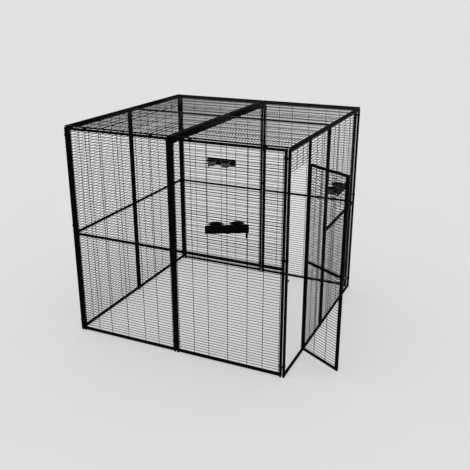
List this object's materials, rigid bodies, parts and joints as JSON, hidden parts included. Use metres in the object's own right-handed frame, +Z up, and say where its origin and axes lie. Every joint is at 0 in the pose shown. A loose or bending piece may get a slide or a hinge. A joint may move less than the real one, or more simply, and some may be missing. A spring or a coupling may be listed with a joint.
{
  "type": "indoor aviary",
  "caption": "Walk-in indoor aviary of clamped wire panels with a roof, a hinged door and revolving feeding stations with lift-out bowls.",
  "frame": {"origin": "centre of the cage's footprint on the floor", "axes": "+Z up, -Y out of the front wall, +X towards the wall with the door"},
  "size_m": [2.4563, 2.082, 1.954],
  "materials": {
    "frame_coat": "satin black powder coat",
    "wire_coat": "satin black powder coat over welded wire",
    "plastic": "fine moulded grain",
    "bowl_plastic": "glossy black moulding",
    "zinc": "bright zinc",
    "black_screws": "blackened"
  },
  "bodies": {
    "cage": {"front_left_frame": "frame_coat", "front_right_frame": "frame_coat", "back_left_frame": "frame_coat", "back_right_frame": "frame_coat", "left_front_frame": "frame_coat", "left_rear_frame": "frame_coat", "right_rear_frame": "frame_coat", "door_panel_frame": "frame_coat", "front_left_grille": "wire_coat", "front_right_grille": "wire_coat", "back_left_grille": "wire_coat", "back_right_grille": "wire_coat", "left_front_grille": "wire_coat", "left_rear_grille": "wire_coat", "right_rear_grille": "wire_coat", "door_panel_grille": "wire_coat", "roof_front_left_frame": "frame_coat", "roof_front_right_frame": "frame_coat", "roof_rear_left_frame": "frame_coat", "roof_rear_right_frame": "frame_coat", "roof_front_left_grille": "wire_coat", "roof_front_right_grille": "wire_coat", "roof_rear_left_grille": "wire_coat", "roof_rear_right_grille": "wire_coat", "roof_beam": "frame_coat", "beam_saddles": "frame_coat", "saddle_screws": "black_screws", "roof_pads": "plastic", "roof_clamp_plates": "frame_coat", "roof_bolts": "black_screws", "hinge_fixed_barrels": "frame_coat", "hinge_pins": "zinc", "latch_keeper": "frame_coat", "panel_clamps": "frame_coat", "clamp_bolts": "black_screws", "feet": "plastic", "tube_caps": "plastic", "front_feeder_studs": "zinc", "back_feeder_studs": "zinc", "side_feeder_studs": "zinc"},
    "door": {"door_frame": "frame_coat", "door_grille": "wire_coat", "hinge_door_barrels": "frame_coat", "latch_housing": "frame_coat"},
    "latch": {"latch_bolt": "zinc"},
    "front_station": {"front_feeder_plate": "frame_coat", "front_feeder_carrier": "plastic"},
    "front_bowl_left": {"front_bowl_left": "bowl_plastic"},
    "front_bowl_right": {"front_bowl_right": "bowl_plastic"},
    "back_station": {"back_feeder_plate": "frame_coat", "back_feeder_carrier": "plastic"},
    "back_bowl_left": {"back_bowl_left": "bowl_plastic"},
    "back_bowl_right": {"back_bowl_right": "bowl_plastic"},
    "side_station": {"side_feeder_plate": "frame_coat", "side_feeder_carrier": "plastic"},
    "side_bowl_left": {"side_bowl_left": "bowl_plastic"},
    "side_bowl_right": {"side_bowl_right": "bowl_plastic"}
  },
  "joints": [
    {"name": "door_hinge", "type": "hinge", "parent": "cage", "child": "door", "pos_m": [1.0295, -0.527, 0.883], "axis": [0, 0, 1], "range_deg": [-60, 90]},
    {"name": "latch_slide", "type": "slide", "parent": "door", "child": "latch", "axis": [0.866, -0.5, 0], "range_m": [0, 0.016]},
    {"name": "front_station_turn", "type": "hinge", "parent": "cage", "child": "front_station", "pos_m": [0.5005, -0.9865, 1.236], "axis": [0, 0, 1], "range_deg": [-28, 150]},
    {"name": "front_bowl_left_lift", "type": "slide", "parent": "front_station", "child": "front_bowl_left", "axis": [0, 0, 1], "range_m": [0, 0.009]},
    {"name": "front_bowl_right_lift", "type": "slide", "parent": "front_station", "child": "front_bowl_right", "axis": [0, 0, 1], "range_m": [0, 0.06]},
    {"name": "back_station_turn", "type": "hinge", "parent": "cage", "child": "back_station", "pos_m": [-0.5005, 0.9865, 1.236], "axis": [0, 0, 1], "range_deg": [0, 178]},
    {"name": "back_bowl_left_lift", "type": "slide", "parent": "back_station", "child": "back_bowl_left", "axis": [0, 0, 1], "range_m": [0, 0.06]},
    {"name": "back_bowl_right_lift", "type": "slide", "parent": "back_station", "child": "back_bowl_right", "axis": [0, 0, 1], "range_m": [0, 0.06]},
    {"name": "side_station_turn", "type": "hinge", "parent": "cage", "child": "side_station", "pos_m": [1.0155, 0.5005, 1.236], "axis": [0, 0, 1], "range_deg": [0, 178]},
    {"name": "side_bowl_left_lift", "type": "slide", "parent": "side_station", "child": "side_bowl_left", "axis": [0, 0, 1], "range_m": [0, 0.06]},
    {"name": "side_bowl_right_lift", "type": "slide", "parent": "side_station", "child": "side_bowl_right", "axis": [0, 0, 1], "range_m": [0, 0.06]}
  ]
}
